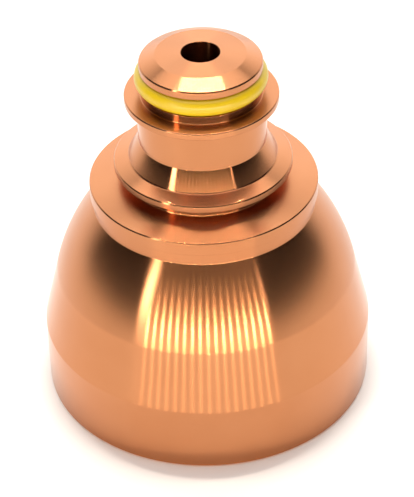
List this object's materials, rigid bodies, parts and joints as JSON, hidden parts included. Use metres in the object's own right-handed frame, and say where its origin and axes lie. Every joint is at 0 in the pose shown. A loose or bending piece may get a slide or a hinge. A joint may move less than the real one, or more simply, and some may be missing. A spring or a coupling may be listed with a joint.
{
  "type": "plasma torch nozzle",
  "caption": "Turned copper plasma torch nozzle with a domed bell, flanged neck, bevelled tip, central orifice and a rubber seal ring.",
  "frame": {"origin": "middle of the flat foot, on the turning axis", "axes": "+Z along the turning axis, from the foot towards the tip; X and Y are free because the part is round"},
  "size_m": [0.028, 0.028, 0.0318],
  "materials": {
    "copper": null,
    "seal_rubber": "smooth mustard-yellow elastomer, slightly glossy"
  },
  "bodies": {
    "root": {"nozzle_body": "copper", "o_ring": "seal_rubber"}
  },
  "joints": []
}
